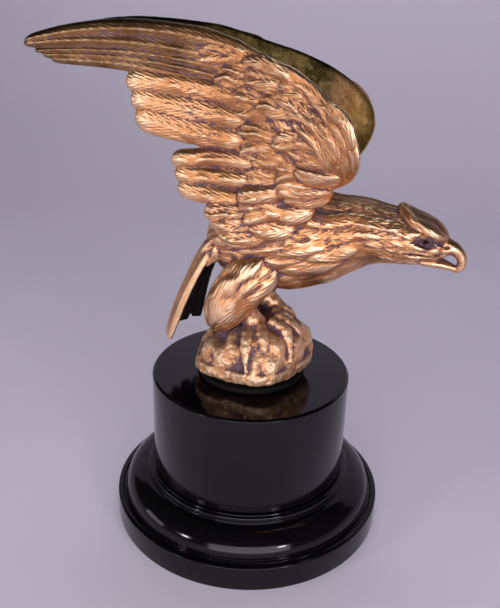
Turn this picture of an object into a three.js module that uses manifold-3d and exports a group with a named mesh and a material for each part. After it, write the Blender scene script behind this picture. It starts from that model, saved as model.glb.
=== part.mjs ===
// A cast bronze eagle with raised wings, standing on a cast rock, on a black turned display stand.
// Millimetres, +Z up. The origin is the centre of the stand's underside, and the eagle heads along +X.

import * as THREE from "three";
import { mergeVertices } from "three/addons/utils/BufferGeometryUtils.js";
import Module from "manifold-3d";

const wasm = await Module();
wasm.setup();

// Stand sizes
const FOOT_RADIUS = 55;
const FOOT_RIM_HEIGHT = 10.6;
const FOOT_TOP = 22.9;
const DRUM_RADIUS = 39.4;
const DRUM_TOP = 64.6;
const DRUM_CHAMFER = 0.8;
const WASHER_RADIUS = 21.2;
const WASHER_TOP = 66.6;
const TURNED_SIDES = 32;

// Rock sizes
const ROCK_RADIUS = 22.6;
const ROCK_HEIGHT = 20;
const ROCK_LUMP = 1.1;

// Wing sizes, for the near wing on the eagle's right side; the other wing mirrors it
const WING_THICKNESS = 3.2;
const WING_TIP = [-83.4, 186];
const WING_ROOT_FILL = 5.5;
const FEATHER_ROOT_DEPTH = 0.4;
// half gap between the wings along the leading edge, by x
const LEADING_SPREAD = [[-75, 6.5], [-40, 7], [-15, 8.5], [0, 13.5], [10, 18.5], [20, 22.5], [30, 28.2], [42, 35.5]];
// upper and lower outline of the wing plate, by x, front to back
const WING_UPPER = [
  [38.8, 159.5], [38, 163.5], [36, 167.5], [31, 173.2], [23.5, 179], [13.5, 184], [0.4, 188.6], [-18.8, 194],
  [-43, 195.5], [-69, 192.3], [-83, 186.3],
];
const WING_LOWER = [
  [38.8, 157.5], [38, 154], [35.5, 149.6], [30, 145.5], [26, 143], [20, 131], [6, 124], [-7, 124.5],
  [-13, 130], [-18, 138], [-21.5, 153.5], [-38, 161.5], [-42, 177], [-46, 179.6], [-70, 181.6], [-83, 185.7],
];

// Feathers in rows: root and tip curves of the row as [x, z], half width at each end of the row, bow of the
// centre line at each end, lift of the outer face and its dome; pointed feathers narrow towards the tip
const FEATHER_ROWS = [
  { n: 2, root: [[0, 186.5], [-3, 182.5]], tip: [[-82.5, 186.8], [-83, 185.6]], half: [3.1, 3.2],
    bow: [-5.6, -3.8], lift: 1, thick: 1.5, pointed: 1 },
  { n: 3, root: [[-4, 180], [-6, 174]], tip: [[-79, 183.4], [-73, 180.9]], half: [1.9, 2.7],
    bow: [-2.8, -2.6], lift: 0.8, thick: 1.3, pointed: 1 },
  { n: 3, root: [[0, 171.5], [0, 158.5]], tip: [[-45, 175.6], [-42, 163.4]], half: [4, 4.6],
    bow: [-1, -1.5], lift: 0.9, thick: 1.5 },
  { n: 3, root: [[4, 151.5], [4, 139]], tip: [[-28.4, 149.2], [-26, 139.6]], half: [3.5, 3.8],
    bow: [-1, 1], lift: 1, thick: 1.6 },
  { n: 3, root: [[9, 137], [12, 127.5]], tip: [[-15.4, 132.4], [-9.6, 125.4]], half: [3.9, 3.9],
    bow: [0.5, 1.5], lift: 1.4, thick: 2 },
  { n: 5, root: [[2, 184.5], [12, 170], [16, 146]], tip: [[-19.8, 184.6], [-6.2, 168], [-2.3, 145]],
    half: [4.6, 5], bow: [-1, -0.6], lift: 1.9, thick: 1.6 },
  { n: 4, root: [[17, 177], [24, 166], [27, 149.5]], tip: [[-2, 179], [5, 165], [11, 148]], half: [4.2, 4.6],
    bow: [-1, -0.8], lift: 2.5, thick: 1.5 },
  { n: 3, root: [[37, 157.5], [29, 149.5]], tip: [[-1, 184.5], [16, 168]], half: [3.2, 3.6], bow: [-7, -4],
    lift: 1.9, thick: 1.7 },
  { n: 2, root: [[25, 146], [18, 135.5]], tip: [[8, 141.5], [-3, 137]], half: [3.4, 3.8], bow: [0.6, 0.6],
    lift: 2.4, thick: 2.2 },
];

// Body stations from rump to face: x, y, z of the centre, half width, half height
const TRUNK = [
  [-18.5, 0, 117, 1, 1], [-15, 0, 117.5, 7, 8], [-7, 0, 119, 11.6, 13], [4, 0, 121.3, 13.8, 17],
  [14, 0, 122.6, 14.3, 18.6], [24, 0, 123.6, 13.4, 16.6], [32, -0.5, 125.5, 11.5, 14],
  [40, -1.5, 127.6, 9.8, 11.2], [48, -3, 127.8, 8.4, 9.1], [55, -4.2, 127.4, 7.7, 8.1],
  [61, -5, 126.6, 7.3, 7.6], [66.5, -5.6, 125, 5.4, 5.4], [70, -6, 124.4, 1, 1],
];
const BEAK = [
  [64, -5.4, 125, 1.5, 1.5], [67, -5.7, 125.2, 4, 4], [71, -6, 125, 3, 3], [74, -6.1, 123.2, 2.3, 2.4],
  [75.6, -6.2, 120.6, 1.7, 2], [75, -6.2, 117.9, 1.3, 1.4], [72.6, -6.2, 116.9, 0.5, 0.6],
];
const MANDIBLE = [
  [56, -4.6, 120, 1.5, 1], [61, -5, 119.2, 4.2, 1.3], [68, -5.6, 118.2, 3, 1], [73.3, -6.1, 117.3, 1.2, 0.6],
];
const CREST = [
  [52.6, -4.2, 139.4, 0.6, 0.5], [53.6, -4.4, 137, 2.4, 1.6], [57, -4.8, 134.8, 5, 2.2],
  [62, -5.2, 132.8, 6.6, 2.6], [66.6, -5.6, 130.3, 5.6, 2.4], [69, -5.8, 128, 2.2, 1.2],
];

// Locks of plumage on the trunk: where each ends (share of the trunk, turn down from the side in degrees),
// its length as a share of the trunk, and its half width
const LOCKS = [
  [0.15, 12, 0.24, 6.5], [0.26, 48, 0.26, 6.5], [0.36, 10, 0.26, 5.4], [0.47, 44, 0.22, 4.6],
  [0.5, -20, 0.22, 4], [0.62, 14, 0.2, 3.2],
];

// Legs: thigh stations, then toes as start, knuckle and claw tip
const THIGH = [
  [3, 9, 116, 5, 4], [-1, 10.5, 111, 6.4, 8.4], [-5.4, 12, 101.5, 7.2, 8.6], [-9, 12.6, 93, 6.6, 7.6],
  [-11.4, 12.6, 86.8, 3, 3.4],
];
const SHANK = [[-7, 9, 98, 4, 4], [0, 8.5, 92, 4.8, 4.6], [6, 8, 87, 4.4, 3.8], [8, 8, 84, 1.5, 1.5]];
const TOES = [
  [[1, 10, 88], [1.5, 17, 83.5], [3, 21.5, 72]], [[5, 10, 89], [8, 15.5, 84], [10, 19.5, 73]],
  [[8, 7, 90], [15, 9, 86.5], [18, 13, 76]], [[9, 2, 90], [17, 2.5, 86], [21.5, 4, 77]],
];
const TOE_RADIUS = 2;

// Tail: a channel of feathers, open towards the legs
const TAIL_TOP = [-18, 117.5];
const TAIL_END = [-32, 79];
const TAIL_HALF_WIDTH = [8.5, 11.5];
const TAIL_DEPTH = 5.2;
const TAIL_BOW = 1.8;
const TAIL_TURN = 1.25;
const TAIL_TWIST = 0.22;
const TAIL_FEATHERS = 5;

const BRONZE = new THREE.MeshStandardMaterial({ color: 0xb87346, roughness: 0.32, metalness: 1 });
const GLOSS_BLACK = new THREE.MeshStandardMaterial({ color: 0x050505, roughness: 0.08, metalness: 0 });
const MATT_BLACK = new THREE.MeshStandardMaterial({ color: 0x0a0a0a, roughness: 0.8, metalness: 0 });

const clamp = THREE.MathUtils.clamp;
const lerp = THREE.MathUtils.lerp;

// Straight-line reading of a table of [x, value] rows in falling or rising x.
function readTable(table, x) {
  const rows = table[0][0] < table[table.length - 1][0] ? table : [...table].reverse();
  if (x <= rows[0][0]) return rows[0][1];
  for (let i = 1; i < rows.length; i++)
    if (x <= rows[i][0])
      return lerp(rows[i - 1][1], rows[i][1], (x - rows[i - 1][0]) / (rows[i][0] - rows[i - 1][0]));
  return rows[rows.length - 1][1];
}

// A smooth curve through station rows, read at a share u of its length.
function stationsAt(rows, u) {
  const f = clamp(u, 0, 1) * (rows.length - 1);
  const i = Math.min(Math.floor(f), rows.length - 2);
  const t = f - i;
  const before = rows[Math.max(i - 1, 0)], after = rows[Math.min(i + 2, rows.length - 1)];
  return rows[i].map((a, k) => {
    const b = rows[i + 1][k], ma = (b - before[k]) / 2, mb = (after[k] - a) / 2;
    return (2 * t ** 3 - 3 * t * t + 1) * a + (t ** 3 - 2 * t * t + t) * ma
      + (3 * t * t - 2 * t ** 3) * b + (t ** 3 - t * t) * mb;
  });
}

function solidFrom(geometry) {
  geometry.deleteAttribute("normal");
  geometry.deleteAttribute("uv");
  const merged = mergeVertices(geometry, 1e-4);
  const triVerts = new Uint32Array(merged.index.array);
  const make = () =>
    new wasm.Manifold(
      new wasm.Mesh({ numProp: 3, vertProperties: merged.attributes.position.array, triVerts }),
    );
  const solid = make();
  if (solid.volume() > 0) return solid;
  for (let i = 0; i < triVerts.length; i += 3)
    [triVerts[i], triVerts[i + 1]] = [triVerts[i + 1], triVerts[i]];
  return make();
}

// A closed rounded form: place(v, angle, target) puts each vertex, v running 0 to 1 from end to end.
function rounded(along, around, place) {
  const geometry = new THREE.SphereGeometry(1, around, along);
  geometry.deleteAttribute("normal");
  geometry.deleteAttribute("uv");
  const merged = mergeVertices(geometry, 1e-4);
  const position = merged.attributes.position;
  const p = new THREE.Vector3();
  for (let i = 0; i < position.count; i++) {
    p.fromBufferAttribute(position, i);
    const v = Math.acos(clamp(p.y, -1, 1)) / Math.PI;
    place(v, Math.atan2(p.z, p.x), Math.hypot(p.x, p.z) < 1e-3 ? 0 : 1, p);
    position.setXYZ(i, p.x, p.y, p.z);
  }
  return solidFrom(merged);
}

// A form along stations of centre, half width (across, in y) and half height (square to the run).
function alongStations(rows, along, around, side = 1) {
  return rounded(along, around, (v, angle, open, p) => {
    const [x, y, z, wide, high] = stationsAt(rows, v);
    const a = stationsAt(rows, Math.max(v - 0.02, 0)), b = stationsAt(rows, Math.min(v + 0.02, 1));
    const run = new THREE.Vector3(b[0] - a[0], b[1] - a[1], b[2] - a[2]).normalize();
    const across = new THREE.Vector3(-run.y, run.x, 0);
    if (across.length() < 0.3) across.set(0, 1, 0);
    across.normalize();
    const up = new THREE.Vector3().crossVectors(run, across);
    p.set(x, y, z)
      .addScaledVector(across, open * wide * Math.cos(angle))
      .addScaledVector(up, open * high * Math.sin(angle));
    p.y *= side;
  });
}

// Half the gap between the two wing plates at a point of the side view.
function wingSpread(x, z) {
  const atRoot = 14 - 5 * clamp((-5 - x) / 45, 0, 1);
  const rise = Math.max(z - (134 + 0.3 * x), 0);
  return atRoot + (readTable(LEADING_SPREAD, x) - atRoot) * (1 - Math.exp(-rise / (16 - 0.25 * x)));
}

function wingPlate(side) {
  return rounded(14, 8, (v, angle, open, p) => {
    const x = lerp(WING_UPPER[0][0], WING_TIP[0], v ** 1.6);
    const top = readTable(WING_UPPER, x), bottom = readTable(WING_LOWER, x);
    const z = (top + bottom) / 2 + (open * (top - bottom) * Math.cos(angle)) / 2;
    const edge = Math.sign(Math.sin(angle)) * Math.abs(Math.sin(angle)) ** 0.5;
    const thick = WING_THICKNESS * (0.4 + 0.6 * Math.sin(Math.PI * Math.sqrt(v)) ** 0.7);
    const nearRoot = Math.exp(-Math.max(z - (134 + 0.3 * x), 0) / 8) * clamp((x + 16) / 10, 0, 1);
    const fill = edge < 0 ? WING_ROOT_FILL * nearRoot : 0;
    p.set(x, side * (wingSpread(x, z) + open * edge * (thick / 2 + fill)), z);
  });
}

// One feather laid on the wing plate, its outer face ridged along the quill.
function feather(root, tip, half, bow, row, side, along) {
  const dx = tip[0] - root[0], dz = tip[1] - root[1], length = Math.hypot(dx, dz);
  return rounded(along, 5, (v, angle, open, p) => {
    const u = 1 - ((1 + Math.cos(Math.PI * v)) / 2) ** 1.3;
    const swell = Math.sin(Math.PI * v) ** 0.35;
    const taper = row.pointed ? 0.35 + 0.65 * Math.sqrt(Math.max(1 - u ** 2.5, 0)) : lerp(0.8, 1, u);
    const turn = angle - Math.PI / 10;
    const b = open * half * swell * taper * Math.cos(turn) + 4 * u * (1 - u) * bow;
    const x = lerp(root[0], tip[0], u) - (dz / length) * b;
    const z = lerp(root[1], tip[1], u) + (dx / length) * b;
    const c = Math.sin(turn) > 0 ? row.thick : row.lift + FEATHER_ROOT_DEPTH;
    p.set(x, side * (wingSpread(x, z) + row.lift + open * c * swell * Math.sin(turn)), z);
  });
}

function wing(side) {
  const pieces = [wingPlate(side)];
  for (const row of FEATHER_ROWS)
    for (let i = 0; i < row.n; i++) {
      const t = i / (row.n - 1);
      const root = stationsAt(row.root, t), tip = stationsAt(row.tip, t);
      const long = Math.hypot(tip[0] - root[0], tip[1] - root[1]) > 36;
      const half = lerp(row.half[0], row.half[1], t), bow = lerp(row.bow[0], row.bow[1], t);
      pieces.push(feather(root, tip, half, bow, row, side, long ? 5 : 4));
    }
  return pieces;
}

// A lock of plumage that follows the trunk and ends in a rounded point towards the tail.
function lock([end, turn, share, half], side) {
  return rounded(4, 5, (v, angle, open, p) => {
    const u = end + share * v;
    const swell = Math.sin(Math.PI * v) ** 0.5 * (1 - 0.45 * v);
    const [x, y, z, wide, high] = stationsAt(TRUNK, u);
    const at = -THREE.MathUtils.degToRad(turn) + (open * half * swell * Math.cos(angle)) / ((wide + high) / 2);
    const out = 1 + (0.3 + 1.5 * swell * Math.sin(angle) * open) / ((wide + high) / 2);
    p.set(x, y + side * out * wide * Math.cos(at), z + out * high * Math.sin(at));
  });
}

function tail() {
  const sheet = (u, across, out, p) => {
    const half = lerp(TAIL_HALF_WIDTH[0], TAIL_HALF_WIDTH[1], u);
    const turn = TAIL_TURN * across;
    const forward = TAIL_DEPTH * (1 - Math.cos(turn)) / (1 - Math.cos(TAIL_TURN));
    p.set(
      lerp(TAIL_TOP[0], TAIL_END[0], u) - 4 * u * (1 - u) * TAIL_BOW + forward
        + TAIL_TWIST * half * Math.sin(turn) * u
        - out * Math.cos(turn) * 0.94,
      (half * Math.sin(turn)) / Math.sin(TAIL_TURN) + out * Math.sin(turn),
      lerp(TAIL_TOP[1], TAIL_END[1], u) - out * Math.cos(turn) * 0.34,
    );
  };
  const plate = rounded(5, 12, (v, angle, open, p) =>
    sheet(v * 0.95, open * Math.cos(angle) * Math.sin(Math.PI * v) ** 0.15, open * Math.sin(angle), p),
  );
  const blades = Array.from({ length: TAIL_FEATHERS }, (_, i) => {
    const middle = -0.86 + (1.72 * i) / (TAIL_FEATHERS - 1);
    return rounded(5, 5, (v, angle, open, p) => {
      const u = 1 - ((1 + Math.cos(Math.PI * v)) / 2) ** 1.3;
      const swell = Math.sin(Math.PI * v) ** 0.35;
      sheet(u, middle + open * 0.24 * swell * Math.cos(angle), 0.6 + open * 1.2 * swell * Math.sin(angle), p);
    });
  });
  return [plate, ...blades];
}

function rock() {
  return rounded(8, 13, (v, angle, open, p) => {
    const rise = Math.cos(Math.PI * v);
    const level = rise > 0 ? rise : rise * 0.18;
    const flute = ROCK_LUMP * Math.sin(5 * angle + 1) * Math.sin(Math.PI * v) * (rise > -0.3 ? 1 : 0.2);
    const reach = open * (ROCK_RADIUS + flute) * Math.min(Math.sin(Math.PI * v) ** 0.8, 1);
    const lean = level > 0 ? 5 * level : 0;
    p.set(
      reach * Math.cos(angle) + lean,
      reach * Math.sin(angle),
      Math.max(70 + ROCK_HEIGHT * level, WASHER_TOP),
    );
  });
}

function leg(side, shift, toeShift) {
  const moved = (rows) => rows.map(([x, ...rest]) => [x + shift, ...rest]);
  const toes = TOES.map((toe) => {
    const rows = toe.map(([x, y, z], i) => [x + toeShift, y, z, TOE_RADIUS * [1, 1.15, 0.5][i], TOE_RADIUS * [1, 1.1, 0.5][i]]);
    return alongStations(rows, 4, 5, side);
  });
  return [
    alongStations(moved(THIGH), 7, 9, side),
    alongStations(moved(SHANK), 4, 6, side),
    ...toes,
  ];
}

const joined = (pieces) => pieces.reduce((whole, piece) => whole.add(piece));

const eagle = joined([
  alongStations(TRUNK, 14, 10),
  alongStations(BEAK, 8, 7),
  alongStations(MANDIBLE, 5, 6),
  alongStations(CREST, 6, 7),
  ...LOCKS.flatMap((row) => [lock(row, -1), lock(row, 1)]),
  ...wing(-1),
  ...wing(1),
  ...tail(),
  ...leg(-1, 0, 0),
  ...leg(1, 4.5, -2),
  rock(),
]);

// The corners of a joined solid's outer skin: the small pockets sealed between feathers are filled with metal.
function outerSkin(corners, count) {
  const parent = Uint32Array.from({ length: count }, (_, i) => i);
  const find = (i) => {
    while (parent[i] !== i) i = parent[i] = parent[parent[i]];
    return i;
  };
  for (let i = 0; i < corners.length; i += 3) {
    parent[find(corners[i])] = find(corners[i + 1]);
    parent[find(corners[i + 1])] = find(corners[i + 2]);
  }
  const size = new Map();
  for (const i of corners) size.set(find(i), (size.get(find(i)) ?? 0) + 1);
  const largest = [...size].reduce((a, b) => (b[1] > a[1] ? b : a))[0];
  return corners.filter((_, i) => find(corners[i - (i % 3)]) === largest);
}

function meshFrom(solid, name, material) {
  const made = solid.getMesh();
  const loose = new THREE.BufferGeometry();
  loose.setAttribute("position", new THREE.BufferAttribute(new Float32Array(made.vertProperties), 3));
  loose.setIndex(new THREE.BufferAttribute(new Uint32Array(made.triVerts), 1));
  const geometry = mergeVertices(loose, 1e-3);
  const corners = outerSkin(Uint32Array.from(geometry.index.array), geometry.attributes.position.count);
  geometry.setIndex(new THREE.BufferAttribute(corners, 1));
  const mesh = new THREE.Mesh(geometry, material);
  mesh.name = name;
  return mesh;
}

// A turned solid about the stand's upright axis, from [radius, height] rows.
function turned(rows, name, material) {
  const geometry = new THREE.LatheGeometry(rows.map(([r, z]) => new THREE.Vector2(r, z)), TURNED_SIDES);
  geometry.rotateX(Math.PI / 2);
  return meshFrom(solidFrom(geometry), name, material);
}

const foot = turned([
  [0, 0], [FOOT_RADIUS - 0.8, 0], [FOOT_RADIUS, 0.8], [FOOT_RADIUS, FOOT_RIM_HEIGHT - 0.5],
  [FOOT_RADIUS - 0.5, FOOT_RIM_HEIGHT], [FOOT_RADIUS - 3.2, FOOT_RIM_HEIGHT + 0.3],
  [FOOT_RADIUS - 3.6, FOOT_RIM_HEIGHT + 1.6], [FOOT_RADIUS - 4.6, 15], [FOOT_RADIUS - 6.8, 17.6],
  [FOOT_RADIUS - 10, 19.4], [DRUM_RADIUS + 3, 20.2], [DRUM_RADIUS + 2.4, 21.4],
  [DRUM_RADIUS + 0.9, FOOT_TOP], [0, FOOT_TOP],
], "stand_foot", GLOSS_BLACK);

const drum = turned([
  [0, FOOT_TOP], [DRUM_RADIUS - 0.5, FOOT_TOP], [DRUM_RADIUS, FOOT_TOP + 0.5],
  [DRUM_RADIUS, DRUM_TOP - DRUM_CHAMFER], [DRUM_RADIUS - DRUM_CHAMFER, DRUM_TOP], [0, DRUM_TOP],
], "stand_drum", GLOSS_BLACK);

const washer = turned([
  [0, DRUM_TOP], [WASHER_RADIUS, DRUM_TOP], [WASHER_RADIUS, WASHER_TOP], [0, WASHER_TOP],
], "mounting_washer", MATT_BLACK);

const ornament = new THREE.Group();
ornament.add(foot, drum, washer, meshFrom(eagle, "eagle_casting", BRONZE));

export default ornament;
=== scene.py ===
import math
import random

import bmesh
import bpy
import numpy as np
from mathutils import Matrix, Vector, noise
from mathutils.bvhtree import BVHTree


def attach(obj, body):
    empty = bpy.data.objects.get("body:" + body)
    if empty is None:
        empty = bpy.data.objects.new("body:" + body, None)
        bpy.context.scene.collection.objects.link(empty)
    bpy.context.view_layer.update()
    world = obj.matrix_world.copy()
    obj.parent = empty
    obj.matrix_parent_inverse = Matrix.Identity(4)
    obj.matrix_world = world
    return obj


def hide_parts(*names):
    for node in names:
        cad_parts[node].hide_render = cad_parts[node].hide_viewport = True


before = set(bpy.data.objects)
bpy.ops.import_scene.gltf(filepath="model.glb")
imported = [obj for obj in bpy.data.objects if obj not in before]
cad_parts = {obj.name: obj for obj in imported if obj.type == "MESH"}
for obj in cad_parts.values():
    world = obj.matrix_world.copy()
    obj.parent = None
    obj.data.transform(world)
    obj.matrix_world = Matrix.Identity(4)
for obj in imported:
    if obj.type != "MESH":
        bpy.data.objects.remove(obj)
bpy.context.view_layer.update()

# Stand foot. A turned and polished black foot: upright rim, narrow groove, round moulding, step and bead.
# It was turned in one piece on a lathe, then buffed; it carries the drum and rests flat on the table.
MM = 0.001
FOOT_TOP = 22.9
RIM = [  # radius, height, and how far the corner is eased, from the centre of the underside outwards
    (54.4, 0, 0.3), (55, 0.7, 0.3), (55, 10.6, 0.45), (52.9, 10.85, 0.15), (52.5, 10.35, 0.15),
    (51.95, 10.5, 0.15), (51.8, 11.9, 0.2),
]
MOULDING_FOOT, MOULDING_HEAD, MOULDING_FULLNESS, MOULDING_STEPS = (51.4, 12.2), (42.5, 20.25), 1.1, 24
SEAT = [
    (42.35, 20.3, 0.08), (42.25, 21.15, 0.25), (41.65, 21.3, 0.08), (41.5, 22.5, 0.55), (40.4, 22.65, 0.2),
    (40.3, FOOT_TOP, 0.08),
]
CORNER_STEPS = 4
BLACK, GREYED_BLACK, DUST = (0.0022, 0.002, 0.0028), (0.0055, 0.0046, 0.0062), (0.16, 0.15, 0.145)
FOOT_WEAR = 0.02


def eased(rows):
    """The points of a profile with each corner rounded by its own amount."""
    points = [Vector(row[:2]) for row in rows]
    curve = []
    for i, corner in enumerate(points):
        ease = rows[i][2]
        before, after = points[max(i - 1, 0)], points[min(i + 1, len(points) - 1)]
        start = corner + (before - corner).normalized() * ease
        end = corner + (after - corner).normalized() * ease
        for step in range(CORNER_STEPS + 1):
            t = step / CORNER_STEPS
            curve.append(start * (1 - t) ** 2 + corner * 2 * t * (1 - t) + end * t * t)
    return [tuple(point) for point in curve]


def moulding():
    """The points of the foot's round moulding, a full quarter round."""
    (wide, low), (narrow, high) = MOULDING_FOOT, MOULDING_HEAD
    turns = [step / MOULDING_STEPS * math.pi / 2 for step in range(MOULDING_STEPS + 1)]
    return [(narrow + (wide - narrow) * math.cos(turn) ** MOULDING_FULLNESS,
             low + (high - low) * math.sin(turn) ** MOULDING_FULLNESS) for turn in turns]


def set_up(name, data):
    """A new object in the scene, at the origin."""
    piece = bpy.data.objects.new(name, data)
    bpy.context.scene.collection.objects.link(piece)
    return piece


def smoothed(mesh):
    for face in mesh.polygons:
        face.use_smooth = True


def finished(name, shape, sharp=35):
    """The scene's object for a finished shape, smooth but for edges sharper than the angle."""
    mesh = bpy.data.meshes.new(name)
    shape.to_mesh(mesh)
    shape.free()
    smoothed(mesh)
    mesh.set_sharp_from_angle(angle=math.radians(sharp))
    return set_up(name, mesh)


def turned(name, profile, steps=192):
    """A solid turned about the stand's upright axis, from its profile in millimetres."""
    shape = bmesh.new()
    spots = [shape.verts.new((r * MM, 0, z * MM)) for r, z in profile]
    edges = [shape.edges.new(pair) for pair in zip(spots, spots[1:])]
    bmesh.ops.spin(shape, geom=spots + edges, cent=(0, 0, 0), axis=(0, 0, 1), angle=math.tau, steps=steps,
                   use_merge=True)
    bmesh.ops.remove_doubles(shape, verts=shape.verts, dist=1e-6)
    bmesh.ops.recalc_face_normals(shape, faces=shape.faces)
    return finished(name, shape)


class Shade:
    """One value in a material. Sums written on it add its Math nodes."""

    def __init__(self, tree, socket=None):
        self.tree, self.socket = tree, socket

    def node(self, kind, inputs=(), out=0, **settings):
        made = self.tree.nodes.new(kind)
        for name, value in settings.items():
            if name == "stops":
                ramp = made.color_ramp.elements
                while len(ramp) < len(value):
                    ramp.new(0.5)
                for element, (place, colour) in zip(ramp, value):
                    element.position, element.color = place, (*colour, 1)
            else:
                setattr(made, name, value)
        for key, value in dict(inputs).items():
            if isinstance(value, Shade):
                self.tree.links.new(value.socket, made.inputs[key])
            else:
                made.inputs[key].default_value = value
        return Shade(self.tree, made.outputs[out])

    def math(self, how, *values):
        return self.node("ShaderNodeMath", enumerate(values), operation=how)

    def __add__(self, other):
        return self.math("ADD", self, other)

    def __sub__(self, other):
        return self.math("SUBTRACT", self, other)

    def __rsub__(self, other):
        return self.math("SUBTRACT", other, self)

    def __mul__(self, other):
        return self.math("MULTIPLY", self, other)

    def __abs__(self):
        return self.math("ABSOLUTE", self)

    __radd__, __rmul__ = __add__, __mul__

    def wave(self):
        return self.math("SINE", self)

    def held(self):
        """This value kept between 0 and 1."""
        return self.math("MINIMUM", self.math("MAXIMUM", self, 0.0), 1.0)

    def step(self, low, high):
        """A soft step from 0 to 1 as this value goes from low to high."""
        return self.node("ShaderNodeMapRange", {0: self, 1: low, 2: high}, interpolation_type="SMOOTHSTEP")

    def mix(self, *colours):
        """From the first colour to the second by this value."""
        first, second = (colour if isinstance(colour, Shade) else (*colour, 1) for colour in colours)
        return self.node("ShaderNodeMix", {0: self, 6: first, 7: second}, out=2, data_type="RGBA")

    def stretched(self, x, y, z):
        return self.node("ShaderNodeMapping", {0: self, 3: (x, y, z)})

    def noise(self, scale, detail=3, rough=0.5, bend=0):
        return self.node("ShaderNodeTexNoise", {"Vector": self, "Scale": scale, "Detail": detail,
                                                "Roughness": rough, "Distortion": bend})

    def cells(self, scale):
        return self.node("ShaderNodeTexVoronoi", {"Vector": self, "Scale": scale})

    def attribute(self, name, out="Fac"):
        return self.node("ShaderNodeAttribute", out=out, attribute_name=name)

    def bump(self, strength, distance):
        """A relief whose height is this value."""
        return self.node("ShaderNodeBump", {"Strength": strength, "Distance": distance, "Height": self})


def material(name, **constants):
    """A new material: its start for sums, its object coordinates, and what sets its shader's sockets."""
    made = bpy.data.materials.new(name)
    made.use_nodes = True
    shader = made.node_tree.nodes["Principled BSDF"]
    start = Shade(made.node_tree)

    def feed(**sockets):
        for socket, value in sockets.items():
            socket = shader.inputs[socket.replace("_", " ")]
            if isinstance(value, Shade):
                made.node_tree.links.new(value.socket, socket)
            else:
                socket.default_value = value

    feed(**constants)
    return made, start, start.node("ShaderNodeTexCoord", out="Object"), feed


def polished_black(name, wear):
    """Buffed black: soft waves from the polishing wheel, hairline scratches round the turning, and dust."""
    made, _, place, feed = material(
        name, Metallic=0.0, IOR=1.46, Specular_IOR_Level=0.32, Coat_IOR=1.45, Coat_Roughness=0.03)
    cloud = place.noise(28, 3, 0.55)
    hairs = place.stretched(1, 1, 26).noise(420, 4, 0.7).step(0.57, 0.74)
    smear = place.stretched(1, 0.35, 1).noise(95, 4, 0.6, 0.6).step(0.5, 0.78)
    dust = (1 - place.cells(900).step(0.0, 0.13)) * place.noise(60, 2).step(0.5, 0.72)
    feed(
        Base_Color=(dust * 0.8).held().mix(cloud.mix(BLACK, GREYED_BLACK), DUST),
        Roughness=(0.075 + 0.05 * cloud + (0.09 + wear) * hairs + 0.1 * smear + 0.4 * dust).held(),
        Coat_Weight=(0.16 - 0.08 * smear - 0.16 * dust).held(),
        Normal=(place.noise(75, 2) + 0.06 * hairs + 0.25 * dust).bump(0.16, 0.0001),
    )
    return made


foot = turned("foot", [(0, 0)] + eased(RIM) + moulding() + eased(SEAT) + [(0, FOOT_TOP)])
foot.data.materials.append(polished_black("polished black foot", FOOT_WEAR))
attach(foot, "root")
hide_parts("stand_foot")

# Stand drum. A plain polished black cylinder with narrow bright chamfers at both ends.
# It was turned on its own and stands on the foot, where a fine dark joint line shows round it.
DRUM_TOP = 64.6
DRUM = [(38.75, FOOT_TOP, 0.1), (39.4, 23.55, 0.2), (39.4, 63.75, 0.2), (38.55, DRUM_TOP, 0.25)]
DRUM_WEAR = 0.05
drum = turned("drum", [(0, FOOT_TOP)] + eased(DRUM) + [(0, DRUM_TOP)])
drum.data.materials.append(polished_black("polished black drum", DRUM_WEAR))
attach(drum, "root")
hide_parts("stand_drum")

# Mounting washer. A thin disc of matt black rubber, punched from sheet, held between the rock and the drum.
# It shows as a dark line round the foot of the casting.
WASHER_TOP = 66.6
WASHER = [(20.9, DRUM_TOP, 0.1), (21.2, 65.0, 0.2), (21.2, 66.2, 0.2), (20.9, WASHER_TOP, 0.1)]
WASHER_STEPS = 96
RUBBER, GREYED_RUBBER = (0.003, 0.003, 0.0032), (0.008, 0.0075, 0.0075)
washer = turned("washer", [(0, DRUM_TOP)] + eased(WASHER) + [(0, WASHER_TOP)], WASHER_STEPS)
made, _, place, feed = material("matt black rubber", Metallic=0.0, IOR=1.5, Specular_IOR_Level=0.2)
grain = place.noise(1600, 3, 0.6)
feed(Base_Color=grain.mix(RUBBER, GREYED_RUBBER), Roughness=0.7 + 0.25 * grain,
     Normal=grain.bump(0.4, 0.0001))
washer.data.materials.append(made)
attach(washer, "root")
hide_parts("mounting_washer")

# Casting: the rock. A low crag, fluted and hollowed above, hammered below. The eagle and its rock are one
# bronze casting, so their forms are built up in one shape, in millimetres, and fused further down.
CRAG, FLIGHT, VANE, COVERT, PLUME, LEAF, SMOOTH, TOE, HOLLOW = range(9)  # how a form's face is chased
ROCK_RADIUS, ROCK_LEVEL, ROCK_HEIGHT, ROCK_LEAN = 22.6, 70, 20, 5  # it's widest at ROCK_LEVEL
ROCK_UNDERSIDE = 0.18  # how deep the rock is below its widest level, as a share of its height above
FLUTES, FLUTE_DEPTH = 5, 1.1
POLE = 1e-4
casting = bmesh.new()
laid = []  # for every vertex of the casting: millimetres along and across its form, and the form's kind


def lines(x, y, z):
    """Places from three rows of coordinates."""
    return np.stack([x, y, z], axis=-1)


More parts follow.
